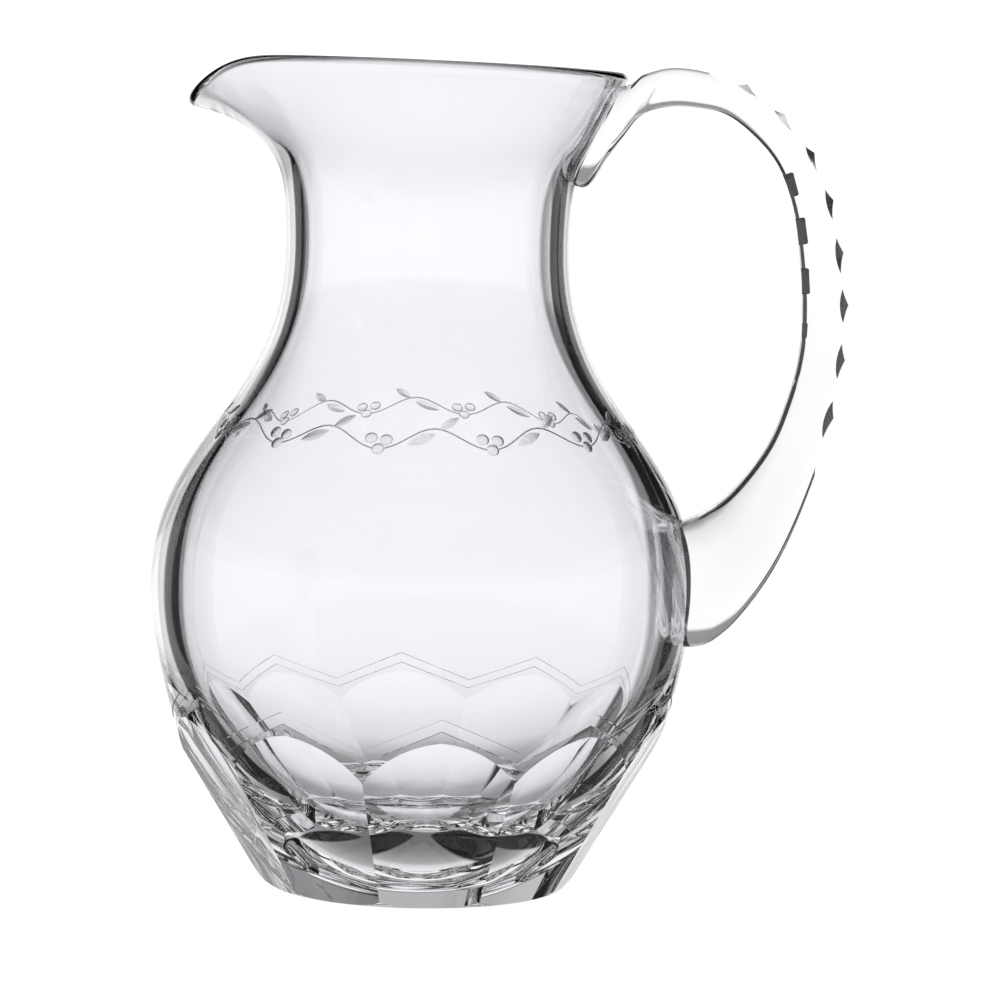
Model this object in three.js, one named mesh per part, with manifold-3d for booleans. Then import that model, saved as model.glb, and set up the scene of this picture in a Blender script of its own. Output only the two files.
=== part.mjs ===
// Crystal jug: a blown body with a cut base and a separately applied, notched handle.
// Millimetres, +Z up. The origin is the centre of the flat foot, the spout points to -X and the handle to +X.
import * as THREE from "three";
import { mergeVertices } from "three/addons/utils/BufferGeometryUtils.js";
import Module from "manifold-3d";

// Heights of the body above the table
const lowerHeight = 34;
const bellyHeight = 82.5;
const neckHeight = 173.4;
const rimHeight = 224.3;

// Outer radii of the body
const footFlatRadius = 37.5;
const footRounding = 8;
const lowerRadius = 63;
const bellyRadius = 73.2;
const neckRadius = 38;
const mouthRadius = 53;

// How long the profile keeps its direction at each level
const lowerPull = 2;
const bellyPullDown = 20;
const bellyPullUp = 39.9;
const neckPullDown = 44.5;
const neckPullUp = 27.4;
const mouthPull = 26;
const mouthFlare = 0.38;

// Glass thickness
const floorThickness = 9.2;
const bellyWall = 7.3;
const neckWall = 5.1;
const rimWall = 4.2;
const cavityBellyPull = 40;
const cavityFloorPull = 40;

// Mouth: the spout is pulled outwards and down, the rim dips a little towards the handle
const spoutStart = 186;
const spoutReach = 15.4;
const spoutDrop = 12.2;
const spoutAngle = 25;
const spoutDropAngle = 19;
const spoutGrowth = 3.5;
const spoutDropGrowth = 2;
const rimDip = 2.9;
const rimDipGrowth = 2.5;

// Cut base: flat panels between two heights of the profile, and a zigzag mitre groove above them
const panelCount = 10;
const panelTurn = 9.6;
const panelToeHeight = 0.35;
const panelArchHeight = 48.4;
const groovePeakHeight = 51.5;
const grooveValleyHeight = 42.2;
const grooveWidth = 6;
const grooveDepth = 0.7;

// Handle: seats on the neck and on the belly, and bows out beyond the belly between them
const sealGap = 0.3;
const upperSeatDrop = 21.1;
const upperSeatHeight = 29.2;
const upperSeatWidth = 18;
const lowerSeatHeight = 33.6;
const lowerSeatWidth = 26;
const gripOverhang = 34.5;
const gripDepth = 14;
const gripThickness = 12.5;
const topThickness = 10;
const notchDepth = 1.3;
const gripSquareness = 6;
const upperSeatSquareness = 2.5;
const lowerSeatSquareness = 2.4;

// Mesh fineness
const bodySegments = 50;
const handleSides = 24;

const clearGlass = new THREE.MeshStandardMaterial({ color: 0xe9eef0, roughness: 0.03, metalness: 0 });

const wasm = await Module();
wasm.setup();

/** Turns a closed geometry into a solid, with shared corners merged and empty triangles left out. */
function solidOf(geometry) {
  const bare = geometry.clone();
  bare.deleteAttribute("normal");
  bare.deleteAttribute("uv");
  const merged = mergeVertices(bare, 1e-4);
  const kept = [];
  const index = merged.index.array;
  for (let i = 0; i < index.length; i += 3) {
    const [a, b, c] = [index[i], index[i + 1], index[i + 2]];
    if (a !== b && b !== c && c !== a) kept.push(a, b, c);
  }
  const mesh = new wasm.Mesh({
    numProp: 3,
    vertProperties: new Float32Array(merged.attributes.position.array),
    triVerts: new Uint32Array(kept),
  });
  return new wasm.Manifold(mesh);
}

/** Turns a solid back into a geometry. */
function geometryOf(solid) {
  const mesh = solid.getMesh();
  const geometry = new THREE.BufferGeometry();
  geometry.setAttribute("position", new THREE.BufferAttribute(new Float32Array(mesh.vertProperties), 3));
  geometry.setIndex(Array.from(mesh.triVerts));
  geometry.computeVertexNormals();
  return geometry;
}

/** Points of a cubic curve from p0 to p3, without its first point. */
function curvePoints(p0, p1, p2, p3, count) {
  const curve = new THREE.CubicBezierCurve(p0, p1, p2, p3);
  return curve.getPoints(count).slice(1);
}

const at = (r, z) => new THREE.Vector2(r, z);

// The wall ends half its thickness below the top of its rounded lip
const lipHeight = rimHeight - rimWall / 2;

/** The outer profile from the edge of the foot to the top of the mouth, as (radius, height) points. */
function outerProfile() {
  const centre = at(footFlatRadius, footRounding);
  const lower = at(lowerRadius, lowerHeight);
  const toLower = lower.clone().sub(centre);
  const touch = Math.atan2(toLower.y, toLower.x) - Math.acos(footRounding / toLower.length());
  const points = [];
  const arcSteps = 4;
  for (let i = 0; i <= arcSteps; i++) {
    const angle = -Math.PI / 2 + ((touch + Math.PI / 2) * i) / arcSteps;
    points.push(at(centre.x + footRounding * Math.cos(angle), centre.y + footRounding * Math.sin(angle)));
  }
  const slope = at(-Math.sin(touch), Math.cos(touch));
  points.push(lower);
  const belly = at(bellyRadius, bellyHeight);
  const neck = at(neckRadius, neckHeight);
  const mouth = at(mouthRadius, lipHeight);
  const flare = at(mouthFlare, 1).normalize().multiplyScalar(mouthPull);
  points.push(...curvePoints(
    lower, lower.clone().addScaledVector(slope, lowerPull), at(bellyRadius, bellyHeight - bellyPullDown), belly, 6));
  points.push(...curvePoints(
    belly, at(bellyRadius, bellyHeight + bellyPullUp), at(neckRadius, neckHeight - neckPullDown), neck, 9));
  points.push(...curvePoints(
    neck, at(neckRadius, neckHeight + neckPullUp), mouth.clone().sub(flare), mouth, 7));
  return points;
}

/** The inner profile from the top of the mouth down to the middle of the cavity's floor. */
function innerProfile() {
  const mouth = at(mouthRadius - rimWall, lipHeight);
  const neck = at(neckRadius - neckWall, neckHeight);
  const belly = at(bellyRadius - bellyWall, bellyHeight);
  const floor = at(0, floorThickness);
  const flare = at(mouthFlare, 1).normalize().multiplyScalar(mouthPull);
  return [
    mouth,
    ...curvePoints(mouth, mouth.clone().sub(flare), at(neck.x, neckHeight + neckPullUp), neck, 6),
    ...curvePoints(neck, at(neck.x, neckHeight - neckPullDown), at(belly.x, bellyHeight + bellyPullUp), belly, 7),
    ...curvePoints(belly, at(belly.x, bellyHeight - cavityBellyPull), at(cavityFloorPull, floorThickness), floor, 8),
  ];
}

const outer = outerProfile();

/** Outer radius of the uncut body at a height. */
function radiusAt(z) {
  for (let i = 1; i < outer.length; i++) {
    const [a, b] = [outer[i - 1], outer[i]];
    if (z <= b.y) return a.x + ((b.x - a.x) * (z - a.y)) / (b.y - a.y);
  }
  return outer[outer.length - 1].x;
}

/** Outward direction of the uncut body at a height, as (radial, vertical). */
function outwardAt(z) {
  const step = 0.5;
  const rise = at(radiusAt(z + step) - radiusAt(z - step), 2 * step).normalize();
  return at(rise.y, -rise.x);
}

/** Profile rows become a closed solid of revolution about Z. */
function turned(profile) {
  const geometry = new THREE.LatheGeometry(profile, bodySegments);
  geometry.rotateX(Math.PI / 2);
  return geometry;
}

/** Pulls the spout out and down and dips the rim towards the handle. */
function shapeMouth(geometry) {
  const position = geometry.attributes.position;
  for (let i = 0; i < position.count; i++) {
    const [x, y, z] = [position.getX(i), position.getY(i), position.getZ(i)];
    const share = THREE.MathUtils.clamp((z - spoutStart) / (rimHeight - spoutStart), 0, 1);
    const radius = Math.hypot(x, y);
    if (share === 0 || radius === 0) continue;
    const fromSpout = THREE.MathUtils.radToDeg(Math.atan2(y, -x));
    const pull = spoutReach * share ** spoutGrowth * Math.exp(-((fromSpout / spoutAngle) ** 2));
    const drop = spoutDrop * Math.exp(-((fromSpout / spoutDropAngle) ** 2));
    const dip = rimDip * ((1 + x / radius) / 2) ** rimDipGrowth;
    const grown = 1 + pull / radius;
    position.setXYZ(i, x * grown, y * grown, z - share ** spoutDropGrowth * drop - share * dip);
  }
  return geometry;
}

/** The hollow vessel before it is cut. */
function blank() {
  const rim = outer[outer.length - 1];
  const half = rimWall / 2;
  const lip = [1, 2, 3].map((i) => {
    const angle = (i * Math.PI) / 4;
    return at(rim.x - half + half * Math.cos(angle), rim.y + half * Math.sin(angle));
  });
  return solidOf(shapeMouth(turned([at(0, 0), ...outer, ...lip, ...innerProfile()])));
}

/** The direction of a panel's middle, counted round the base. */
function panelBearing(index) {
  return THREE.MathUtils.degToRad(panelTurn) + (2 * Math.PI * (index + 0.5)) / panelCount;
}

/** One flat panel's cutter: a block whose inner face lies on the panel. */
function panelCutter(index) {
  const toe = at(radiusAt(panelToeHeight), panelToeHeight);
  const arch = at(radiusAt(panelArchHeight), panelArchHeight);
  const tilt = Math.atan2(arch.x - toe.x, arch.y - toe.y);
  const length = toe.distanceTo(arch) * 1.6;
  const thickness = bellyRadius;
  const block = new THREE.BoxGeometry(thickness, bellyRadius, length);
  block.translate(thickness / 2, 0, 0);
  block.rotateY(tilt);
  block.translate((toe.x + arch.x) / 2, 0, (toe.y + arch.y) / 2);
  block.rotateZ(panelBearing(index));
  return solidOf(block);
}

/** One straight run of the zigzag: a V-shaped bar that follows the surface from a peak to a valley. */
function grooveCutter(index, side) {
  const stations = 4;
  const proud = 0.6;
  const spread = (grooveWidth / 2) * ((grooveDepth + proud) / grooveDepth);
  const middle = panelBearing(index);
  const spot = (share) => {
    const angle = middle + (side * share * Math.PI) / panelCount;
    const z = THREE.MathUtils.lerp(groovePeakHeight, grooveValleyHeight, share);
    const out = outwardAt(z);
    const r = radiusAt(z);
    return {
      point: new THREE.Vector3(r * Math.cos(angle), r * Math.sin(angle), z),
      out: new THREE.Vector3(out.x * Math.cos(angle), out.x * Math.sin(angle), out.y),
    };
  };
  const corners = [];
  for (let i = 0; i <= stations; i++) {
    const share = -0.04 + (1.08 * i) / stations;
    const { point, out } = spot(share);
    const along = spot(share + 0.01).point.sub(point).normalize();
    const across = new THREE.Vector3().crossVectors(out, along).normalize();
    const top = point.clone().addScaledVector(out, proud);
    corners.push(point.clone().addScaledVector(out, -grooveDepth));
    corners.push(top.clone().addScaledVector(across, spread));
    corners.push(top.clone().addScaledVector(across, -spread));
  }
  const faces = [0, 2, 1];
  for (let i = 0; i < stations; i++) {
    for (let k = 0; k < 3; k++) {
      const [a, b] = [3 * i + k, 3 * i + ((k + 1) % 3)];
      faces.push(a, b, a + 3, b, b + 3, a + 3);
    }
  }
  const last = 3 * stations;
  faces.push(last, last + 1, last + 2);
  const geometry = new THREE.BufferGeometry();
  geometry.setAttribute("position", new THREE.Float32BufferAttribute(corners.flatMap((c) => c.toArray()), 3));
  geometry.setIndex(faces);
  return solidOf(geometry);
}

/** The vessel with its ten panels and its zigzag groove. */
function bodySolid() {
  let body = blank();
  for (let i = 0; i < panelCount; i++) {
    body = body.subtract(panelCutter(i));
  }
  for (let i = 0; i < panelCount; i++) {
    for (const side of [-1, 1]) {
      body = body.subtract(grooveCutter(i, side));
    }
  }
  return body;
}

/** Rows of the handle: middle point, direction towards its back, thickness along that and depth across it. */
function handleRows() {
  const upperZ = rimHeight - upperSeatDrop;
  const upperX = radiusAt(upperZ);
  const reach = bellyRadius + gripOverhang;
  const neckEnd = [upperSeatHeight, upperSeatWidth, upperSeatSquareness];
  const top = [topThickness, gripDepth, gripSquareness];
  const grip = [gripThickness, gripDepth, gripSquareness];
  const bellyEnd = [lowerSeatHeight, lowerSeatWidth, lowerSeatSquareness];
  const row = (out, up, lean, from, to, share) => ({
    x: THREE.MathUtils.lerp(upperX, reach, out),
    z: THREE.MathUtils.lerp(bellyHeight, upperZ, up),
    back: new THREE.Vector3(
      Math.cos(THREE.MathUtils.degToRad(lean)), 0, Math.sin(THREE.MathUtils.degToRad(lean))),
    thickness: THREE.MathUtils.lerp(from[0], to[0], share),
    depth: THREE.MathUtils.lerp(from[1], to[1], share),
    squareness: THREE.MathUtils.lerp(from[2], to[2], share),
  });
  return [
    row(-0.066, 1.03, 70, neckEnd, neckEnd, 0),
    row(0.051, 1.008, 70, neckEnd, top, 0),
    row(0.132, 1.053, 68, neckEnd, top, 0.26),
    row(0.191, 1.081, 65, neckEnd, top, 0.48),
    row(0.254, 1.109, 63, neckEnd, top, 0.78),
    row(0.341, 1.119, 68, neckEnd, top, 0.93),
    row(0.452, 1.115, 71, top, top, 0),
    row(0.6, 1.096, 56, top, top, 0),
    row(0.741, 1.04, 38, top, top, 0),
    row(0.856, 0.966, 22, top, grip, 0.12),
    row(0.931, 0.869, 12, top, grip, 0.4),
    row(0.971, 0.758, 6, top, grip, 0.7),
    row(0.991, 0.645, 2, grip, grip, 0),
    row(0.983, 0.53, -7, grip, grip, 0),
    row(0.936, 0.409, -15, grip, bellyEnd, 0.05),
    row(0.856, 0.29, -23, grip, bellyEnd, 0.13),
    row(0.721, 0.155, -43, grip, bellyEnd, 0.41),
    row(0.6, 0.074, -62, grip, bellyEnd, 0.72),
    row(0.509, 0.033, -72, grip, bellyEnd, 0.93),
    row(0.433, 0.015, -78, bellyEnd, bellyEnd, 0),
    row(0.288, 0.015, -80, bellyEnd, bellyEnd, 0),
  ];
}

/** Blends the two rows on either side of a place along the handle. */
function rowAt(rows, line, place) {
  const below = Math.min(Math.floor(place), rows.length - 2);
  const [a, b] = [rows[below], rows[below + 1]];
  const part = place - below;
  return {
    middle: line.getPoint(place / (rows.length - 1)),
    back: a.back.clone().lerp(b.back, part).normalize(),
    thickness: THREE.MathUtils.lerp(a.thickness, b.thickness, part),
    depth: THREE.MathUtils.lerp(a.depth, b.depth, part),
    squareness: THREE.MathUtils.lerp(a.squareness, b.squareness, part),
  };
}

/** The unnotched handle: flat-sided rings joined along its middle line. */
function handleStrap(rows, line) {
  const perRow = 2;
  const count = (rows.length - 1) * perRow;
  const positions = [];
  for (let i = 0; i <= count; i++) {
    const { middle, back, thickness, depth, squareness } = rowAt(rows, line, i / perRow);
    for (let k = 0; k < handleSides; k++) {
      const angle = (2 * Math.PI * k) / handleSides;
      const [c, s] = [Math.cos(angle), Math.sin(angle)];
      const scale = (Math.abs(c) ** squareness + Math.abs(s) ** squareness) ** (-1 / squareness);
      const point = middle.clone().addScaledVector(back, (thickness / 2) * scale * c);
      positions.push(point.x, (depth / 2) * scale * s, point.z);
    }
  }
  const faces = [];
  for (let i = 0; i < count; i++) {
    for (let k = 0; k < handleSides; k++) {
      const a = i * handleSides + k;
      const b = i * handleSides + ((k + 1) % handleSides);
      faces.push(a, a + handleSides, b, b, a + handleSides, b + handleSides);
    }
  }
  for (let k = 1; k < handleSides - 1; k++) {
    const last = count * handleSides;
    faces.push(0, k, k + 1);
    faces.push(last, last + k + 1, last + k);
  }
  const geometry = new THREE.BufferGeometry();
  geometry.setAttribute("position", new THREE.Float32BufferAttribute(positions, 3));
  geometry.setIndex(faces);
  return solidOf(geometry);
}

/** Wheel cutters that grind the row of scallops into the back of the handle, each between two rows. */
function notchCutters(rows) {
  const firstRow = 6;
  const lastRow = 15;
  const edge = (r) => new THREE.Vector3(r.x, 0, r.z).addScaledVector(r.back, r.thickness / 2);
  const cutters = [];
  for (let i = firstRow; i < lastRow; i++) {
    const [a, b] = [edge(rows[i]), edge(rows[i + 1])];
    const chord = a.distanceTo(b);
    const radius = (chord * chord) / (8 * notchDepth) + notchDepth / 2;
    const outwards = new THREE.Vector3(a.z - b.z, 0, b.x - a.x).normalize();
    const centre = a.add(b).multiplyScalar(0.5).addScaledVector(outwards, radius - notchDepth);
    const wheel = new THREE.CylinderGeometry(radius, radius, 2 * gripDepth, 72);
    wheel.rotateY(Math.PI / 72);
    wheel.translate(centre.x, 0, centre.z);
    cutters.push(solidOf(wheel));
  }
  return cutters;
}

/** The body's outside grown by the seal's gap, which trims both ends of the handle to their seats. */
function seatSolid() {
  const grown = outer.map((p) => {
    const out = outwardAt(p.y);
    return at(p.x + sealGap * out.x, p.y + sealGap * out.y);
  });
  const top = rimHeight + sealGap;
  const edge = grown[grown.length - 1].x;
  const profile = [at(0, -sealGap), at(footFlatRadius, -sealGap), ...grown.slice(1), at(edge, top), at(0, top)];
  return solidOf(shapeMouth(turned(profile)));
}

/** The handle with its notches, trimmed to the body. */
function handleSolid() {
  const rows = handleRows();
  const line = new THREE.CatmullRomCurve3(rows.map((r) => new THREE.Vector3(r.x, 0, r.z)), false, "centripetal");
  let handle = handleStrap(rows, line);
  for (const cutter of notchCutters(rows)) {
    handle = handle.subtract(cutter);
  }
  return handle.subtract(seatSolid());
}

/** Adds one named piece to the jug. */
function addPiece(group, name, solid) {
  const mesh = new THREE.Mesh(geometryOf(solid), clearGlass);
  mesh.name = name;
  group.add(mesh);
}

const jug = new THREE.Group();
jug.name = "crystal_jug";
addPiece(jug, "jug_body", bodySolid());
addPiece(jug, "handle", handleSolid());

export default jug;
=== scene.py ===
"""Crystal jug: a blown and cut body with an engraved band, and an applied handle with ground notches."""

import logging
import math
from dataclasses import dataclass
from enum import Enum
from typing import Any, Callable, Sequence

import bmesh
import bpy
from bmesh.types import BMEdge, BMesh, BMVert
from mathutils import Matrix, Quaternion, Vector
from mathutils.geometry import interpolate_bezier


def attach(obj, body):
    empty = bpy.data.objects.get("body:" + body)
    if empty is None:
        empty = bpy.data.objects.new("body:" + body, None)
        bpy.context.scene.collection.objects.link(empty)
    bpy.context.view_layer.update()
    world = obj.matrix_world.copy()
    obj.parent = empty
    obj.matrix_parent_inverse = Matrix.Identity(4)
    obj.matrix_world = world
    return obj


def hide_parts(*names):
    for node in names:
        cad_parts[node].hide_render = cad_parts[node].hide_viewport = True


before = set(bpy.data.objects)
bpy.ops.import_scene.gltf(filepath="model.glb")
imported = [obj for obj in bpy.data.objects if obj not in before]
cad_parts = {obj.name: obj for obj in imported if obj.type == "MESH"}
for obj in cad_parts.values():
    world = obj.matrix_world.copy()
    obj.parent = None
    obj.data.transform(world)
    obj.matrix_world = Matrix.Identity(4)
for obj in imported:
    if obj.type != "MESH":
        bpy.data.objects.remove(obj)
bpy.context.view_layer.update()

LOG = logging.getLogger("crystal_jug")
MM = 0.001
FULL_TURN = 2.0 * math.pi
BODY_STEPS = 200
BODY_FINENESS = 5


class Surface(Enum):
    """How a stretch of the glass was finished, in the order of a piece's material slots."""

    FIRE_POLISHED = 0
    CUT = 1
    ENGRAVED = 2


def linear(hex_colour: str) -> tuple[float, float, float, float]:
    """Turns an sRGB hex colour into linear RGBA.

    Args:
        hex_colour: Six hex digits, such as "E9EEF0".

    Returns:
        The linear colour with an alpha of one.
    """
    channels = [int(hex_colour[i : i + 2], 16) / 255.0 for i in (0, 2, 4)]
    values = [c / 12.92 if c <= 0.04045 else ((c + 0.055) / 1.055) ** 2.4 for c in channels]
    return (values[0], values[1], values[2], 1.0)


def add_node(
    tree: bpy.types.NodeTree,
    kind: str,
    settings: dict[str, Any] | None = None,
    **inputs: Any,
) -> bpy.types.Node:
    """Adds one node, sets it up and links it.

    Args:
        tree: The node tree that gets the node.
        kind: The node's type name.
        settings: Properties of the node itself.
        **inputs: Socket values or the output sockets to link, by socket name with spaces as underscores.

    Returns:
        The new node.
    """
    node = tree.nodes.new(kind)
    for name, value in (settings or {}).items():
        setattr(node, name, value)
    for name, value in inputs.items():
        key = int(name[1:]) if name[0] == "i" and name[1:].isdigit() else name.replace("_", " ")
        if isinstance(value, bpy.types.NodeSocket):
            tree.links.new(value, node.inputs[key])
        else:
            node.inputs[key].default_value = value
    return node


@dataclass(frozen=True)
class CrystalFinish:
    """Lead crystal: heavy, colourless and bending light more than window glass. Sizes in millimetres."""

    name: str
    tint: str
    roughness: tuple[float, float]
    grain_mm: float
    grain_height_mm: float
    ior: float = 1.545

    def material(self) -> bpy.types.Material:
        """Builds the finish's node material."""
        material = bpy.data.materials.new(self.name)
        material.use_nodes = True
        tree = material.node_tree
        tree.nodes.clear()
        place = add_node(tree, "ShaderNodeTexCoord")
        grain = add_node(
            tree,
            "ShaderNodeTexNoise",
            {"noise_dimensions": "3D"},
            Vector=place.outputs["Object"],
            Scale=1.0 / (self.grain_mm * MM),
            Detail=1.5,
            Roughness=0.4,
        )
        gloss = add_node(
            tree,
            "ShaderNodeMapRange",
            Value=grain.outputs["Fac"],
            From_Min=0.3,
            From_Max=0.7,
            To_Min=self.roughness[0],
            To_Max=self.roughness[1],
        )
        wave = add_node(
            tree,
            "ShaderNodeBump",
            Strength=1.0,
            Distance=self.grain_height_mm * MM,
            Height=grain.outputs["Fac"],
        )
        shader = add_node(
            tree,
            "ShaderNodeBsdfPrincipled",
            Base_Color=linear(self.tint),
            Roughness=gloss.outputs["Result"],
            IOR=self.ior,
            Transmission_Weight=1.0,
            Normal=wave.outputs["Normal"],
        )
        add_node(tree, "ShaderNodeOutputMaterial", Surface=shader.outputs["BSDF"])
        return material


# Blown and reheated in the flame: clear and bright, with a faint slow wave in the dark edge lines.
FIRE_POLISHED_CRYSTAL = CrystalFinish(
    name="lead_crystal_blown_and_fire_polished",
    tint="FDFEFF",
    roughness=(0.0, 0.006),
    grain_mm=26.0,
    grain_height_mm=0.012,
)

# Ground on a wheel and polished: still, sharp facets with only a trace of the wheel's ripple.
CUT_CRYSTAL = CrystalFinish(
    name="lead_crystal_cut_and_polished",
    tint="FDFEFF",
    roughness=(0.0, 0.01),
    grain_mm=9.0,
    grain_height_mm=0.0015,
)

# Engraved with small wheels and left unpolished: a pale grey frost that scatters the light.
ENGRAVED_CRYSTAL = CrystalFinish(
    name="lead_crystal_wheel_engraved_matt",
    tint="F1F2F4",
    roughness=(0.22, 0.36),
    grain_mm=0.9,
    grain_height_mm=0.02,
)


@dataclass(frozen=True)
class Profile:
    """The blown body's outline. Sizes are in millimetres, and points are (radius, height)."""

    lower_height: float = 34.0
    belly_height: float = 82.5
    neck_height: float = 173.4
    rim_height: float = 224.3
    foot_flat_radius: float = 37.5
    foot_rounding: float = 8.0
    lower_radius: float = 63.0
    belly_radius: float = 73.2
    neck_radius: float = 38.0
    mouth_radius: float = 53.0
    lower_pull: float = 2.0
    belly_pull_down: float = 20.0
    belly_pull_up: float = 39.9
    neck_pull_down: float = 44.5
    neck_pull_up: float = 27.4
    mouth_pull: float = 26.0
    mouth_flare: float = 0.38
    floor_thickness: float = 9.2
    belly_wall: float = 7.3
    neck_wall: float = 5.1
    rim_wall: float = 4.2
    cavity_belly_pull: float = 40.0
    cavity_floor_pull: float = 40.0

    @property
    def lip_height(self) -> float:
        """Height where the wall ends and its rounded lip begins."""
        return self.rim_height - self.rim_wall / 2.0

    @property
    def flare(self) -> Vector:
        """The mouth's direction, as long as its pull."""
        return Vector((self.mouth_flare, 1.0)).normalized() * self.mouth_pull

    @staticmethod
    def curve(knots: Sequence[Vector | tuple[float, float]], steps: int) -> list[Vector]:
        """Points of one cubic curve after its first knot.

        Args:
            knots: The two ends with their two handles between them.
            steps: How many points follow the first.

        Returns:
            The points, as two-number vectors.
        """
        a, b, c, d = (Vector(k) for k in knots)
        return interpolate_bezier(a, b, c, d, steps + 1)[1:]

    def outer(self, fineness: int) -> list[Vector]:
        """Points of the outside from the edge of the foot to the lip.

        Args:
            fineness: A factor on the number of points.

        Returns:
            The outline as (radius, height) vectors.
        """
        centre = Vector((self.foot_flat_radius, self.foot_rounding))
        lower = Vector((self.lower_radius, self.lower_height))
        to_lower = lower - centre
        touch = math.atan2(to_lower.y, to_lower.x) - math.acos(self.foot_rounding / to_lower.length)
        steps = 3 * fineness
        points = []
        for i in range(steps + 1):
            angle = -math.pi / 2.0 + (touch + math.pi / 2.0) * i / steps
            points.append(centre + self.foot_rounding * Vector((math.cos(angle), math.sin(angle))))
        slope = Vector((-math.sin(touch), math.cos(touch)))
        start = points[-1].copy()
        points.extend(start.lerp(lower, (i + 1) / (2 * fineness)) for i in range(2 * fineness))
        belly = Vector((self.belly_radius, self.belly_height))
        neck = Vector((self.neck_radius, self.neck_height))
        mouth = Vector((self.mouth_radius, self.lip_height))
        points += self.curve(
            (
                lower,
                lower + slope * self.lower_pull,
                (self.belly_radius, self.belly_height - self.belly_pull_down),
                belly,
            ),
            6 * fineness,
        )
        points += self.curve(
            (
                belly,
                (self.belly_radius, self.belly_height + self.belly_pull_up),
                (self.neck_radius, self.neck_height - self.neck_pull_down),
                neck,
            ),
            9 * fineness,
        )
        points += self.curve(
            (neck, (self.neck_radius, self.neck_height + self.neck_pull_up), mouth - self.flare, mouth),
            7 * fineness,
        )
        return points

    def lip(self, steps: int) -> list[Vector]:
        """Points of the fire-polished lip between the outside and the inside.

        Args:
            steps: How many chords the half circle has.

        Returns:
            The points between the two walls.
        """
        half = self.rim_wall / 2.0
        middle = Vector((self.mouth_radius - half, self.lip_height))
        angles = [math.pi * i / steps for i in range(1, steps)]
        return [middle + half * Vector((math.cos(a), math.sin(a))) for a in angles]

    def inner(self, fineness: int) -> list[Vector]:
        """Points of the inside from the lip down to the middle of the floor.

        Args:
            fineness: A factor on the number of points.

        Returns:
            The cavity's outline as (radius, height) vectors.
        """
        mouth = Vector((self.mouth_radius - self.rim_wall, self.lip_height))
        neck = Vector((self.neck_radius - self.neck_wall, self.neck_height))
        belly = Vector((self.belly_radius - self.belly_wall, self.belly_height))
        floor = Vector((0.0, self.floor_thickness))
        points = [mouth]
        points += self.curve(
            (mouth, mouth - self.flare, (neck.x, neck.y + self.neck_pull_up), neck), 7 * fineness
        )
        points += self.curve(
            (neck, (neck.x, neck.y - self.neck_pull_down), (belly.x, belly.y + self.belly_pull_up), belly),
            9 * fineness,
        )
        points += self.curve(
            (
                belly,
                (belly.x, belly.y - self.cavity_belly_pull),
                (self.cavity_floor_pull, self.floor_thickness),
                floor,
            ),
            9 * fineness,
        )
        return points

    def radius_at(self, height: float) -> float:
        """Outer radius of the uncut body at a height."""
        points = OUTLINE
        for low, high in zip(points, points[1:]):
            if height <= high.y:
                share = (height - low.y) / max(high.y - low.y, 1e-9)
                return low.x + (high.x - low.x) * share
        return points[-1].x

    def outward_at(self, height: float) -> Vector:
        """Outward direction of the uncut body at a height, as (radial, vertical)."""
        rise = Vector((self.radius_at(height + 0.5) - self.radius_at(height - 0.5), 1.0)).normalized()
        return Vector((rise.y, -rise.x))


PROFILE = Profile()
OUTLINE = PROFILE.outer(fineness=8)


@dataclass(frozen=True)
class Mouth:
    """The pulled spout and the rim's dip towards the handle. Sizes are in millimetres and degrees."""

    start_height: float = 186.0
    reach: float = 12.1
    drop: float = 10.2
    angle: float = 25.0
    drop_angle: float = 19.0
    growth: float = 4.2
    drop_growth: float = 2.0
    lip_lean: float = 75.0
    rim_dip: float = 2.9
    rim_dip_growth: float = 2.5

    def shape(self, vertices: Sequence[BMVert]) -> None:
        """Pulls the spout out and down and dips the rim.

        Args:
            vertices: The turned body's vertices, in metres.
        """
        for vertex in vertices:
            x, y, z = (c / MM for c in vertex.co)
            share = (z - self.start_height) / (PROFILE.lip_height - self.start_height)
            radius = math.hypot(x, y)
            if share <= 0.0 or radius < 1e-6:
                continue
            share = min(share, 1.0)
            from_spout = math.degrees(math.atan2(y, -x))
            bulge = share**self.growth * math.exp(-((from_spout / self.angle) ** 2))
            lean = math.radians(self.lip_lean) * bulge
            over = max(z - PROFILE.lip_height, 0.0)
            out = radius - PROFILE.radius_at(z - over) + PROFILE.rim_wall / 2.0
            pull = bulge * self.reach + out * (math.cos(lean) - 1.0) + over * math.sin(lean)
            rise = over * (math.cos(lean) - 1.0) - out * math.sin(lean)
            drop = self.drop * math.exp(-((from_spout / self.drop_angle) ** 2))
            dip = self.rim_dip * ((1.0 + x / radius) / 2.0) ** self.rim_dip_growth
            grown = 1.0 + pull / radius
            height = z + rise - share**self.drop_growth * drop - share * dip
            vertex.co = Vector((x * grown, y * grown, height)) * MM


MOUTH = Mouth()


def turn(bm: BMesh, outline: Sequence[Vector], steps: int) -> None:
    """Spins an outline about the jug's axis into a closed shell with its faces pointing outwards.

    Args:
        bm: The bmesh that gets the shell.
        outline: (radius, height) points in millimetres that start and end on the axis.
        steps: Faces around the axis.
    """
    vertices = [bm.verts.new((p.x * MM, 0.0, p.y * MM)) for p in outline]
    edges = [bm.edges.new(pair) for pair in zip(vertices, vertices[1:])]
    bmesh.ops.spin(
        bm,
        geom=[*vertices, *edges],
        cent=(0.0, 0.0, 0.0),
        axis=(0.0, 0.0, 1.0),
        angle=FULL_TURN,
        steps=steps,
        use_merge=True,
    )
    bmesh.ops.remove_doubles(bm, verts=bm.verts[:], dist=1e-6)
    bmesh.ops.recalc_face_normals(bm, faces=bm.faces[:])


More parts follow.
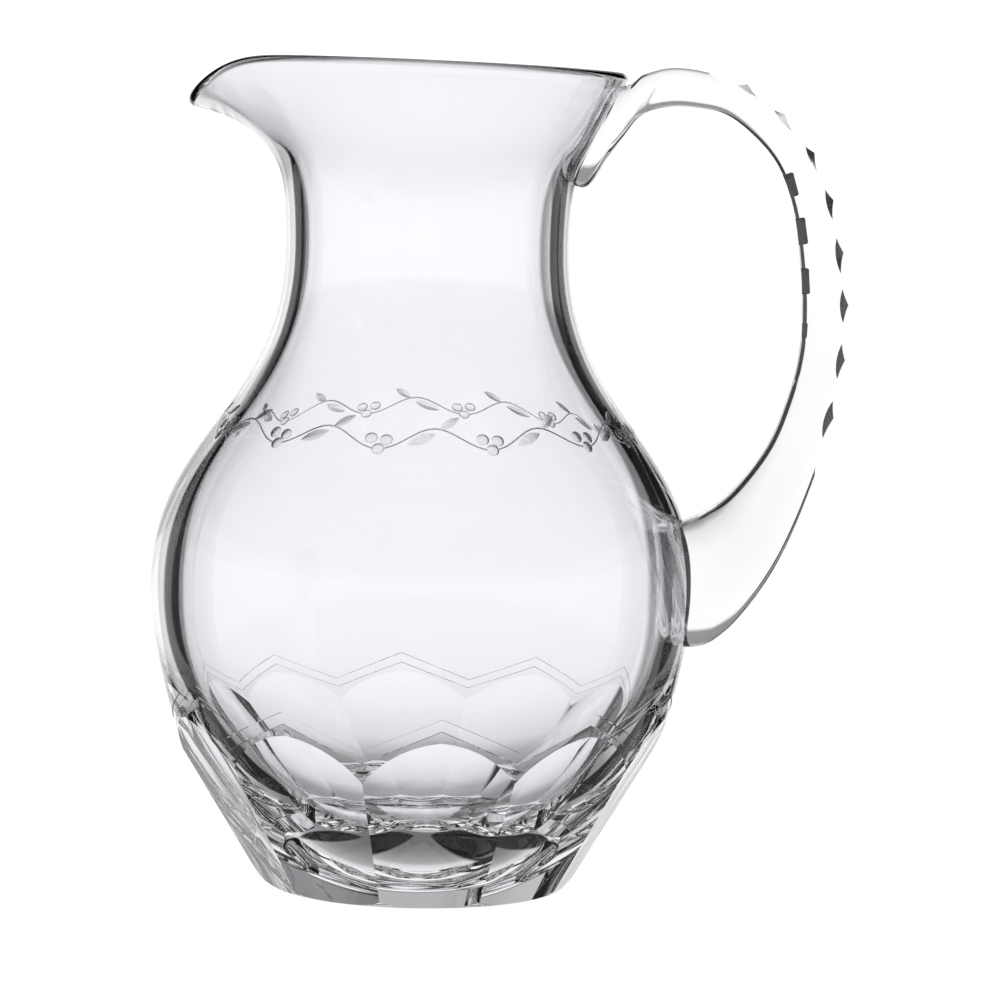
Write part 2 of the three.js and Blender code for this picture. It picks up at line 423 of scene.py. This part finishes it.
def sweep(bm: BMesh, rings: Sequence[Sequence[Vector]], closed: bool) -> None:
    """Extrudes a ring of points through a row of places.

    Args:
        bm: The bmesh that gets the swept body.
        rings: The ring's points at each place, in metres.
        closed: Whether the last ring runs back into the first one.
    """
    made = bmesh.ops.create_circle(bm, segments=len(rings[0]), radius=MM, cap_ends=not closed)
    ring = list(made["verts"])
    for vertex, point in zip(ring, rings[0]):
        vertex.co = point
    edges = [e for e in bm.edges if e.verts[0] in ring and e.verts[1] in ring]
    for points in [*rings[1:], *(rings[:1] if closed else [])]:
        extruded = bmesh.ops.extrude_edge_only(bm, edges=edges)["geom"]
        fresh = {g for g in extruded if isinstance(g, BMVert)}
        edges = [g for g in extruded if isinstance(g, BMEdge) and set(g.verts) <= fresh]
        ring = [next(e.other_vert(v) for e in v.link_edges if e.other_vert(v) in fresh) for v in ring]
        for vertex, point in zip(ring, points):
            vertex.co = point
    if not closed:
        bmesh.ops.contextual_create(bm, geom=edges)
    bmesh.ops.remove_doubles(bm, verts=bm.verts[:], dist=1e-7)
    bmesh.ops.recalc_face_normals(bm, faces=bm.faces[:])


def to_object(bm: BMesh, name: str, materials: Sequence[bpy.types.Material]) -> bpy.types.Object:
    """Turns a finished bmesh into an object at the origin.

    Args:
        bm: The bmesh, which is freed.
        name: The object's name.
        materials: The materials of its slots.

    Returns:
        The linked object.
    """
    mesh = bpy.data.meshes.new(name)
    bm.to_mesh(mesh)
    bm.free()
    for material in materials:
        mesh.materials.append(material)
    item = bpy.data.objects.new(name, mesh)
    bpy.context.collection.objects.link(item)
    return item


def carve(piece: bpy.types.Object, build: Callable[[BMesh], None], surface: Surface) -> None:
    """Cuts a shape out of a piece and gives the cut faces their own surface.

    Args:
        piece: The piece to cut.
        build: A function that makes the cutter in an empty bmesh.
        surface: The finish that the cut leaves.
    """
    bm = bmesh.new()
    build(bm)
    for face in bm.faces:
        face.material_index = surface.value
    cutter = to_object(bm, "cutter", list(piece.data.materials))
    modifier = piece.modifiers.new("carve", "BOOLEAN")
    modifier.operation = "DIFFERENCE"
    modifier.solver = "MANIFOLD"
    modifier.object = cutter
    shaped = piece.evaluated_get(bpy.context.evaluated_depsgraph_get())
    old = piece.data
    mesh = bpy.data.meshes.new_from_object(shaped)
    piece.modifiers.clear()
    piece.data = mesh
    mesh.name = piece.name
    bpy.data.meshes.remove(old)
    bpy.data.objects.remove(cutter)


def smooth_glass(piece: bpy.types.Object, ridge_angle: float = 14.0) -> None:
    """Shades a piece smoothly, with crisp edges around its cuts.

    Args:
        piece: The finished piece.
        ridge_angle: The least angle, in degrees, of a crisp edge between two cut faces.
    """
    bm = bmesh.new()
    bm.from_mesh(piece.data)
    bmesh.ops.recalc_face_normals(bm, faces=bm.faces[:])
    for face in bm.faces:
        face.smooth = True
    for edge in bm.edges:
        if len(edge.link_faces) != 2:
            continue
        a, b = (f.material_index for f in edge.link_faces)
        sharp = edge.calc_face_angle(0.0) > math.radians(ridge_angle)
        cut_ridge = sharp and a != Surface.FIRE_POLISHED.value
        edge.smooth = a == b and not cut_ridge
    bm.to_mesh(piece.data)
    bm.free()


@dataclass(frozen=True)
class CutBase:
    """Ten flat polished panels and the zigzag mitre groove above them. Sizes are in millimetres."""

    panels: int = 10
    turn: float = 9.6
    toe_height: float = 0.35
    arch_height: float = 48.4
    peak_height: float = 51.5
    valley_height: float = 42.2
    groove_width: float = 6.4
    groove_depth: float = 0.2
    edge_step: float = 0.2
    bottom_step: float = 0.1

    def bearing(self, place: float) -> float:
        """The angle round the axis, in radians, of a place counted in panels."""
        return math.radians(self.turn) + FULL_TURN * place / self.panels

    def panel(self, index: int) -> Callable[[BMesh], None]:
        """The flat wheel that grinds one panel.

        Args:
            index: The panel's number round the base.

        Returns:
            A function that makes the wheel's block in a bmesh.
        """
        toe = Vector((PROFILE.radius_at(self.toe_height), 0.0, self.toe_height))
        arch = Vector((PROFILE.radius_at(self.arch_height), 0.0, self.arch_height))
        rise = (arch - toe).normalized()
        outward = Vector((rise.z, 0.0, -rise.x))
        spin = Matrix.Rotation(self.bearing(index + 0.5), 4, "Z")
        side = 2.0 * (arch - toe).length
        block = Matrix((outward, Vector((0.0, 1.0, 0.0)), rise)).transposed().to_4x4()
        block.translation = ((toe + arch) / 2.0 + outward * side / 2.0) * MM

        def wheel(bm: BMesh) -> None:
            """Makes the block that stands on the panel's plane."""
            bmesh.ops.create_cube(bm, size=side * MM, matrix=spin @ block)

        return wheel

    def groove(self, bm: BMesh) -> None:
        """Makes the zigzag's cutter: one wide V with a fine step at its upper edge, round the whole jug.

        Args:
            bm: The empty bmesh that gets the cutter.
        """
        per_run = 6
        proud = 1.2
        overhang = 1.4
        rings = []
        run = PROFILE.radius_at(self.valley_height) * math.pi / self.panels
        lean = math.atan2(self.peak_height - self.valley_height, run)
        half = self.groove_width / 2.0 / math.cos(lean)
        edge = self.edge_step / half
        bottom = self.bottom_step / half
        section = (
            (-1.0, 0.0),
            (-bottom, self.groove_depth * (1.0 - bottom)),
            (0.0, self.groove_depth + self.bottom_step),
            (bottom, self.groove_depth * (1.0 - bottom)),
            (1.0 - edge, self.groove_depth * edge + self.edge_step),
            (1.0, 0.0),
        )
        for i in range(2 * self.panels * per_run):
            place = i / per_run
            rise = abs(place % 2.0 - 1.0)
            height = self.valley_height + (self.peak_height - self.valley_height) * (1.0 - rise)
            spin = Matrix.Rotation(self.bearing(place / 2.0), 3, "Z")
            out = PROFILE.outward_at(height)
            up = Vector((-out.y, out.x))
            middle = Vector((PROFILE.radius_at(height), height))
            flat = [middle + up * (half * across) - out * deep for across, deep in section]
            flat += [middle + out * proud + up * (half * across) for across in (overhang, -overhang)]
            rings.append([spin @ (Vector((p.x, 0.0, p.y)) * MM) for p in flat])
        sweep(bm, rings, closed=True)


@dataclass(frozen=True)
class EngravedBand:
    """A vine engraved round the shoulder: a waving stem with leaves and berries. Sizes in millimetres.

    A leaf has its place in steps from the stem's crest, its rise, its lean in degrees and its size. A berry
    has its place in steps from the stem's trough and its rise.
    """

    height: float = 126.0
    repeats: int = 12
    steps_per_repeat: int = 16
    stem_swing: float = 3.2
    stem_width: float = 0.5
    stem_depth: float = 0.18
    leaf_length: float = 8.0
    leaf_width: float = 3.0
    leaf_depth: float = 0.45
    berry_radius: float = 1.7
    berry_depth: float = 0.45
    berry_lift: float = 5.4
    leaves: tuple[tuple[float, float, float, float], ...] = ((-1.9, -3.2, 24.0, 1.0), (2.2, 1.6, 34.0, 0.8))
    berries: tuple[tuple[float, float], ...] = ((-1.1, -2.2), (1.1, -2.6), (0.1, -5.4))

    def spot(self, turn_share: float, rise: float) -> Matrix:
        """A frame on the shoulder: X along the band, Y up the surface and Z out of the glass.

        Args:
            turn_share: The place round the jug, from 0 to 1.
            rise: The distance up the surface from the band's middle line.

        Returns:
            The frame's matrix, in metres.
        """
        out = PROFILE.outward_at(self.height)
        level = self.height + rise * out.x
        out = PROFILE.outward_at(level)
        radius = PROFILE.radius_at(level)
        angle = FULL_TURN * turn_share
        radial = Vector((math.cos(angle), math.sin(angle), 0.0))
        along = Vector((-math.sin(angle), math.cos(angle), 0.0))
        normal = radial * out.x + Vector((0.0, 0.0, out.y))
        upward = normal.cross(along)
        frame_matrix = Matrix((along, upward, normal)).transposed().to_4x4()
        frame_matrix.translation = (radial * radius + Vector((0.0, 0.0, level))) * MM
        return frame_matrix

    def stem_rise(self, turn_share: float) -> float:
        """The stem's distance above the band's middle line."""
        return self.stem_swing * math.sin(FULL_TURN * self.repeats * turn_share)

    def stem(self, bm: BMesh) -> None:
        """Makes the stem's cutter, one V-shaped line round the jug."""
        steps = self.repeats * self.steps_per_repeat
        proud = 0.3
        wide = self.stem_width / 2.0 * (self.stem_depth + proud) / self.stem_depth
        rings = []
        for i in range(steps):
            share = i / steps
            spot = self.spot(share, self.stem_rise(share))
            section = [(0.0, 0.0, -self.stem_depth), (0.0, wide, proud), (0.0, -wide, proud)]
            rings.append([spot @ (Vector(p) * MM) for p in section])
        sweep(bm, rings, closed=True)

    def leaf(self, bm: BMesh, spot: Matrix, lean: float, size: float) -> None:
        """Makes one leaf's cutter, a boat shape that runs out at both ends.

        Args:
            bm: The bmesh that gets the cutter.
            spot: The frame at the leaf's middle.
            lean: The leaf's turn out of the band's direction, in degrees.
            size: A factor on the leaf's size.
        """
        place = spot @ Matrix.Rotation(math.radians(lean), 4, "Z")
        steps = 10
        proud = 0.4
        tip = 0.02
        rings = []
        for i in range(steps + 1):
            along = 2.0 * i / steps - 1.0
            full = max(1.0 - along * along, tip)
            deep = self.leaf_depth * full
            wide = size * self.leaf_width / 2.0 * full * (deep + proud) / deep
            x = size * self.leaf_length / 2.0 * along
            sag = x * x / (2.0 * PROFILE.radius_at(self.height))
            section = [(x, 0.0, -deep - sag), (x, wide, proud - sag), (x, -wide, proud - sag)]
            rings.append([place @ (Vector(p) * MM) for p in section])
        body = bmesh.new()
        sweep(body, rings, closed=False)
        part = bpy.data.meshes.new("leaf")
        body.to_mesh(part)
        body.free()
        bm.from_mesh(part)
        bpy.data.meshes.remove(part)

    def berry(self, bm: BMesh, spot: Matrix) -> None:
        """Makes one berry's cutter, a shallow lens.

        Args:
            bm: The bmesh that gets the cutter.
            spot: The frame at the berry's middle.
        """
        lens = Matrix.Diagonal((self.berry_radius, self.berry_radius, self.berry_depth, 1.0 / MM)) * MM
        bmesh.ops.create_icosphere(bm, subdivisions=3, radius=1.0, matrix=spot @ lens)

    def sprigs(self, bm: BMesh) -> None:
        """Makes the cutters of all leaves and berries."""
        pitch = 1.0 / self.repeats
        step = pitch / self.steps_per_repeat
        for i in range(self.repeats):
            crest = (i + 0.25) * pitch
            trough = (i + 0.75) * pitch
            for along, rise, lean, size in self.leaves:
                self.leaf(bm, self.spot(crest + along * step, self.stem_swing + rise), lean, size)
            for along, rise in self.berries:
                spot = self.spot(trough + along * step, -self.stem_swing + self.berry_lift + rise)
                self.berry(bm, spot)


@dataclass
class JugBody:
    """The blown vessel with its cut base and its engraved band."""

    profile: Profile
    mouth: Mouth
    base: CutBase
    band: EngravedBand
    steps: int = BODY_STEPS
    fineness: int = BODY_FINENESS
    lip_steps: int = 14

    def build(self) -> bpy.types.Object:
        """Builds and dresses the vessel.

        Returns:
            The finished piece.
        """
        bm = bmesh.new()
        outline = [
            Vector((0.0, 0.0)),
            *self.profile.outer(self.fineness),
            *self.profile.lip(self.lip_steps),
            *self.profile.inner(self.fineness),
        ]
        turn(bm, outline, self.steps)
        self.mouth.shape(bm.verts)
        finishes = (FIRE_POLISHED_CRYSTAL, CUT_CRYSTAL, ENGRAVED_CRYSTAL)
        piece = to_object(bm, "jug_body_glass", [f.material() for f in finishes])
        for index in range(self.base.panels):
            carve(piece, self.base.panel(index), Surface.CUT)
        carve(piece, self.base.groove, Surface.CUT)
        carve(piece, self.band.stem, Surface.ENGRAVED)
        carve(piece, self.band.sprigs, Surface.ENGRAVED)
        smooth_glass(piece)
        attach(piece, "root")
        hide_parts("jug_body")
        return piece


@dataclass(frozen=True)
class HandleRow:
    """One place along the handle: its middle and lean, and its section's sizes and squareness."""

    out: float
    up: float
    lean: float
    section: Vector


@dataclass
class Handle:
    """The applied handle, a flat-sided strap with ground notches. Sizes are in millimetres.

    A chamfer has its length and its width. An olive's depth is a share of the handle's thickness.
    """

    seal_gap: float = 0.06
    upper_seat_drop: float = 21.1
    upper_seat_height: float = 29.2
    upper_seat_width: float = 18.0
    lower_seat_height: float = 33.6
    lower_seat_width: float = 26.0
    grip_overhang: float = 34.5
    grip_depth: float = 14.0
    grip_thickness: float = 12.5
    top_thickness: float = 10.0
    notch_depth: float = 1.3
    stone_rounding: float = 0.2
    olive_radius: float = 20.0
    olive_depth: float = 0.155
    olive_lean: float = 1.45
    chamfers: tuple[tuple[float, float], ...] = (
        (6.4, 2.6),
        (7.2, 2.6),
        (7.0, 2.3),
        (4.2, 1.9),
        (3.0, 1.5),
    )
    first_chamfer_row: int = 9
    top_squareness: float = 8.0
    squareness: float = 6.0
    upper_seat_squareness: float = 4.0
    lower_seat_squareness: float = 5.0
    sides: int = 56
    per_row: int = 8
    first_notch_row: int = 6
    last_notch_row: int = 15

    def rows(self) -> list[HandleRow]:
        """The places that shape the handle, from the neck to the belly."""
        neck = Vector((self.upper_seat_height, self.upper_seat_width, self.upper_seat_squareness))
        top = Vector((self.top_thickness, self.grip_depth, self.top_squareness))
        grip = Vector((self.grip_thickness, self.grip_depth, self.squareness))
        belly = Vector((self.lower_seat_height, self.lower_seat_width, self.lower_seat_squareness))
        return [
            HandleRow(-0.066, 1.03, 70.0, neck),
            HandleRow(0.051, 1.008, 70.0, neck),
            HandleRow(0.132, 1.053, 68.0, neck.lerp(top, 0.26)),
            HandleRow(0.191, 1.081, 65.0, neck.lerp(top, 0.48)),
            HandleRow(0.254, 1.109, 63.0, neck.lerp(top, 0.78)),
            HandleRow(0.341, 1.119, 68.0, neck.lerp(top, 0.93)),
            HandleRow(0.452, 1.115, 71.0, top),
            HandleRow(0.6, 1.096, 56.0, top),
            HandleRow(0.741, 1.04, 38.0, top),
            HandleRow(0.856, 0.966, 22.0, top.lerp(grip, 0.12)),
            HandleRow(0.931, 0.869, 12.0, top.lerp(grip, 0.4)),
            HandleRow(0.971, 0.758, 6.0, top.lerp(grip, 0.7)),
            HandleRow(0.991, 0.645, 2.0, grip),
            HandleRow(0.983, 0.53, -7.0, grip),
            HandleRow(0.936, 0.409, -15.0, grip.lerp(belly, 0.05)),
            HandleRow(0.856, 0.29, -23.0, grip.lerp(belly, 0.13)),
            HandleRow(0.721, 0.155, -43.0, grip.lerp(belly, 0.41)),
            HandleRow(0.6, 0.074, -62.0, grip.lerp(belly, 0.72)),
            HandleRow(0.509, 0.033, -72.0, grip.lerp(belly, 0.93)),
            HandleRow(0.433, 0.015, -78.0, belly),
            HandleRow(0.288, 0.015, -80.0, belly),
        ]

    def middle(self, row: HandleRow) -> Vector:
        """A row's middle point in the handle's plane, as (x, z)."""
        upper = PROFILE.rim_height - self.upper_seat_drop
        near = PROFILE.radius_at(upper)
        far = PROFILE.belly_radius + self.grip_overhang
        low = PROFILE.belly_height
        return Vector((near + (far - near) * row.out, low + (upper - low) * row.up))

    @staticmethod
    def back(row: HandleRow) -> Vector:
        """The direction from a row's middle towards the handle's back, as (x, z)."""
        angle = math.radians(row.lean)
        return Vector((math.cos(angle), math.sin(angle)))

    @staticmethod
    def through(values: Sequence[Vector], index: int, share: float) -> Vector:
        """A smooth value between two rows.

        Args:
            values: One value for each row.
            index: The row before the place.
            share: The place between that row and the next.

        Returns:
            The value of a curve through the rows.
        """
        last = len(values) - 1
        a, b, c, d = (values[min(max(i, 0), last)] for i in range(index - 1, index + 3))
        s, q = share, share * share
        bend = (2.0 * a - 5.0 * b + 4.0 * c - d) * q
        twist = (3.0 * (b - c) + d - a) * q * s
        return 0.5 * (2.0 * b + (c - a) * s + bend + twist)

    def strap(self, bm: BMesh) -> None:
        """Makes the unnotched handle.

        Args:
            bm: The empty bmesh that gets it.
        """
        rows = self.rows()
        middles = [self.middle(r) for r in rows]
        backs = [self.back(r) for r in rows]
        sections = [r.section for r in rows]
        rings = []
        for i in range((len(rows) - 1) * self.per_row + 1):
            index, step = divmod(i, self.per_row)
            share = step / self.per_row
            middle = self.through(middles, index, share)
            back = self.through(backs, index, share).normalized()
            thick, deep, square = self.through(sections, index, share)
            ring = []
            for k in range(self.sides):
                angle = FULL_TURN * k / self.sides
                c, s = math.cos(angle), math.sin(angle)
                size = (abs(c) ** square + abs(s) ** square) ** (-1.0 / square) / 2.0
                flat = middle + back * (thick * size * c)
                ring.append(Vector((flat.x, deep * size * s, flat.y)) * MM)
            rings.append(ring)
        sweep(bm, rings, closed=False)

    def notch(self, index: int) -> Callable[[BMesh], None]:
        """The wheel that grinds one notch between two rows.

        Args:
            index: The row where the notch begins.

        Returns:
            A function that makes the wheel in a bmesh.
        """
        rows = self.rows()
        a, b = (self.middle(r) + self.back(r) * (r.section[0] / 2.0) for r in rows[index : index + 2])
        chord = b - a
        radius = chord.length_squared / (8.0 * self.notch_depth) + self.notch_depth / 2.0
        outward = Vector((-chord.y, chord.x)).normalized()
        centre = (a + b) / 2.0 + outward * (radius - self.notch_depth)

        def wheel(bm: BMesh) -> None:
            """Makes the wheel, with its axle across the handle."""
            lying = Matrix.Rotation(math.pi / 2, 4, "X")
            place = Matrix.Translation(Vector((centre.x, 0.0, centre.y)) * MM) @ lying
            bmesh.ops.create_cone(
                bm,
                cap_ends=True,
                segments=360,
                radius1=radius * MM,
                radius2=radius * MM,
                depth=2.0 * self.grip_depth * MM,
                matrix=place,
            )

        return wheel

    def corners(self, place: float, side: float, lean: float, sink: float) -> list[Matrix]:
        """Frames at the near and the far corner of one edge of the handle.

        Args:
            place: The place along the handle, counted in rows.
            side: 1 for the back's corners and -1 for the inner ones.
            lean: How far the frames turn from the handle's side to its edge, 1 for half way.
            sink: How far the frames lie inside the corner.

        Returns:
            The frames, in metres, with X along the handle and Y out of the corner.
        """
        rows = self.rows()
        index = int(place)
        share = place - index
        middle = self.through([self.middle(r) for r in rows], index, share)
        back = self.through([self.back(r) for r in rows], index, share).normalized()
        thick, deep, _ = self.through([r.section for r in rows], index, share)
        edge = middle + back * (side * thick / 2.0)
        along = Vector((back.y, 0.0, -back.x))
        frames = []
        for flank in (-1.0, 1.0):
            out = Vector((side * lean * back.x, flank, side * lean * back.y)).normalized()
            corner = Matrix((along, out, along.cross(out))).transposed().to_4x4()
            corner.translation = (Vector((edge.x, flank * deep / 2.0, edge.y)) - out * sink) * MM
            frames.append(corner)
        return frames

    def olives(self, row: int) -> Callable[[BMesh], None]:
        """The wheels that grind a hollow into both corners of a ridge between two notches.

        Args:
            row: The ridge's row.

        Returns:
            A function that makes the two wheels in a bmesh.
        """
        thick = self.rows()[row].section[0]

        def wheels(bm: BMesh) -> None:
            """Makes one wheel for each side of the handle."""
            sink = self.olive_depth * thick - self.olive_radius
            for corner in self.corners(row, 1.0, self.olive_lean, sink):
                bmesh.ops.create_cone(
                    bm,
                    cap_ends=True,
                    segments=180,
                    radius1=self.olive_radius * MM,
                    radius2=self.olive_radius * MM,
                    depth=thick * MM,
                    matrix=corner,
                )

        return wheels

    def chamfer(self, place: float, length: float, width: float) -> Callable[[BMesh], None]:
        """The flat stones that take a short chamfer off both inner corners.

        Args:
            place: The place along the handle, counted in rows.
            length: The chamfer's length along the handle.
            width: The chamfer's width on the handle's side.

        Returns:
            A function that makes the two stones in a bmesh.
        """
        size = Vector((length, 2.0 * width, 4.0 * width))

        def stones(bm: BMesh) -> None:
            """Makes one stone with rounded edges for each side of the handle."""
            for corner in self.corners(place, -1.0, 1.0, width / math.sqrt(2.0) - size.y / 2.0):
                made = bmesh.ops.create_cube(bm, size=MM, matrix=corner @ Matrix.Diagonal((*size, 1.0)))
                edges = {e for v in made["verts"] for e in v.link_edges}
                bmesh.ops.bevel(
                    bm,
                    geom=list(edges),
                    offset=self.stone_rounding * width * MM,
                    segments=3,
                    profile=0.5,
                    affect="EDGES",
                    material=-1,
                )

        return stones

    def seat(self, bm: BMesh) -> None:
        """Makes the body's outside, grown by the seal's gap, which trims the handle's two ends."""
        points = PROFILE.outer(BODY_FINENESS)
        grown = [p + PROFILE.outward_at(p.y) * self.seal_gap for p in points]
        top = PROFILE.rim_height + self.seal_gap
        below = -1.0
        outline = [Vector((0.0, below)), Vector((grown[0].x, below)), *grown[1:]]
        outline += [Vector((grown[-1].x, top)), Vector((0.0, top))]
        turn(bm, outline, BODY_STEPS)
        MOUTH.shape(bm.verts)

    def build(self) -> bpy.types.Object:
        """Builds and dresses the handle.

        Returns:
            The finished piece.
        """
        bm = bmesh.new()
        self.strap(bm)
        finishes = (FIRE_POLISHED_CRYSTAL, CUT_CRYSTAL)
        piece = to_object(bm, "handle_glass", [f.material() for f in finishes])
        for index in range(self.first_notch_row, self.last_notch_row):
            carve(piece, self.notch(index), Surface.CUT)
        for index in range(self.first_notch_row + 1, self.last_notch_row):
            carve(piece, self.olives(index), Surface.CUT)
        for index, (length, width) in enumerate(self.chamfers, self.first_chamfer_row):
            carve(piece, self.chamfer(index + 0.5, length, width), Surface.CUT)
        carve(piece, self.seat, Surface.CUT)
        smooth_glass(piece, ridge_angle=20.0)
        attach(piece, "root")
        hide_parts("handle")
        return piece


@dataclass(frozen=True)
class Studio:
    """A plain pale floor, a bright window behind the jug with dark flags beside it, and the camera.

    Places are in metres. The light's stops are (degrees from the window's middle, level) round the jug and
    (sine of the height above the horizon, level) from the ground up.
    """

    camera_place: tuple[float, float, float] = (0.1016, -1.2358, 0.221)
    camera_aim: tuple[float, float, float] = (0.0208, 0.0, 0.10556)
    camera_roll: float = 1.1
    lens_mm: float = 165.5
    sensor_mm: float = 36.0
    floor_size: float = 12.0
    floor_drop: float = 0.0005
    backdrop_level: float = 1.2
    window_colour: str = "FEFDFF"
    window_turn: float = -4.75
    around: tuple[tuple[float, float], ...] = (
        (0.0, 1.08),
        (21.8, 1.05),
        (24.8, 0.02),
        (53.0, 0.02),
        (55.0, 0.75),
        (112.0, 0.78),
        (180.0, 0.82),
    )
    upright: tuple[tuple[float, float], ...] = (
        (-1.0, 0.12),
        (-0.8, 0.24),
        (-0.55, 0.42),
        (-0.42, 0.75),
        (-0.2, 0.93),
        (0.0, 1.0),
        (0.1, 1.0),
        (0.16, 0.3),
        (0.45, 0.3),
        (0.7, 0.6),
        (0.85, 0.9),
        (1.0, 0.9),
    )

    def camera(self) -> None:
        """Sets up the camera."""
        data = bpy.data.cameras.new("camera")
        data.lens = self.lens_mm
        data.sensor_width = self.sensor_mm
        data.clip_end = 20.0
        item = bpy.data.objects.new("camera", data)
        item.location = self.camera_place
        look = (Vector(self.camera_aim) - Vector(self.camera_place)).to_track_quat("-Z", "Y")
        item.rotation_mode = "QUATERNION"
        item.rotation_quaternion = look @ Quaternion((0.0, 0.0, 1.0), math.radians(self.camera_roll))
        bpy.context.collection.objects.link(item)
        bpy.context.scene.camera = item

    def floor(self) -> None:
        """Lays the plain white floor, which glows evenly and is seen beside the jug but not through it."""
        material = bpy.data.materials.new("studio_floor_white")
        material.use_nodes = True
        tree = material.node_tree
        tree.nodes.clear()
        glow = add_node(tree, "ShaderNodeEmission", Color=linear("FFFFFF"), Strength=1.0)
        add_node(tree, "ShaderNodeOutputMaterial", Surface=glow.outputs["Emission"])
        bm = bmesh.new()
        bmesh.ops.create_grid(bm, x_segments=1, y_segments=1, size=self.floor_size / 2.0)
        bmesh.ops.translate(bm, verts=bm.verts[:], vec=(0.0, 0.0, -self.floor_drop))
        item = to_object(bm, "studio_floor", [material])
        item.visible_diffuse = False
        item.visible_glossy = False
        item.visible_transmission = False
        item.visible_shadow = False

    def world(self) -> None:
        """Sets up the light all round: a bright window behind, dark flags beside it and pale walls."""
        world = bpy.data.worlds.new("studio")
        bpy.context.scene.world = world
        world.use_nodes = True
        tree = world.node_tree
        tree.nodes.clear()
        place = add_node(tree, "ShaderNodeTexCoord")
        bearing = math.atan2(self.camera_place[0], -self.camera_place[1])
        turned = add_node(
            tree,
            "ShaderNodeVectorRotate",
            {"rotation_type": "Z_AXIS"},
            Vector=place.outputs["Generated"],
            Angle=math.radians(self.window_turn) - bearing,
        )
        axes = add_node(tree, "ShaderNodeSeparateXYZ", Vector=turned.outputs["Vector"])
        across = add_node(tree, "ShaderNodeMath", {"operation": "ABSOLUTE"}, i0=axes.outputs["X"])
        angle = add_node(
            tree, "ShaderNodeMath", {"operation": "ARCTAN2"}, i0=across.outputs[0], i1=axes.outputs["Y"]
        )
        ways = (
            (angle.outputs[0], 0.0, math.pi, [(math.radians(a), level) for a, level in self.around]),
            (axes.outputs["Z"], -1.0, 1.0, list(self.upright)),
        )
        levels = []
        for value, low, high, stops in ways:
            share = add_node(tree, "ShaderNodeMapRange", Value=value, From_Min=low, From_Max=high)
            ramp = add_node(tree, "ShaderNodeValToRGB", Fac=share.outputs["Result"])
            elements = ramp.color_ramp.elements
            for spot, _ in stops[1:-1]:
                elements.new((spot - low) / (high - low))
            for element, (_, level) in zip(elements, stops):
                element.color = (level, level, level, 1.0)
            levels.append(ramp.outputs["Color"])
        light = add_node(tree, "ShaderNodeMath", {"operation": "MULTIPLY"}, i0=levels[0], i1=levels[1])
        path = add_node(tree, "ShaderNodeLightPath")
        white = add_node(
            tree,
            "ShaderNodeMath",
            {"operation": "MULTIPLY"},
            i0=path.outputs["Is Camera Ray"],
            i1=self.backdrop_level,
        )
        seen = add_node(
            tree, "ShaderNodeMath", {"operation": "MAXIMUM"}, i0=light.outputs[0], i1=white.outputs[0]
        )
        glow = add_node(
            tree, "ShaderNodeBackground", Color=linear(self.window_colour), Strength=seen.outputs[0]
        )
        add_node(tree, "ShaderNodeOutputWorld", Surface=glow.outputs["Background"])

    def build(self) -> None:
        """Builds the whole set."""
        self.camera()
        self.floor()
        self.world()
        scene = bpy.context.scene
        scene.view_settings.view_transform = "Standard"
        scene.cycles.max_bounces = 24
        scene.cycles.transmission_bounces = 24
        scene.cycles.glossy_bounces = 16
        scene.cycles.transparent_max_bounces = 16


def main() -> None:
    """Builds the jug and its set, and reports each piece."""
    logging.basicConfig(level=logging.INFO, format="%(message)s")
    body = JugBody(PROFILE, MOUTH, CutBase(), EngravedBand()).build()
    handle = Handle().build()
    for piece in (body, handle):
        piece.data.calc_loop_triangles()
        LOG.info("%s: %d triangles", piece.name, len(piece.data.loop_triangles))
    Studio().build()
    bpy.context.view_layer.update()


if __name__ == "__main__":
    main()
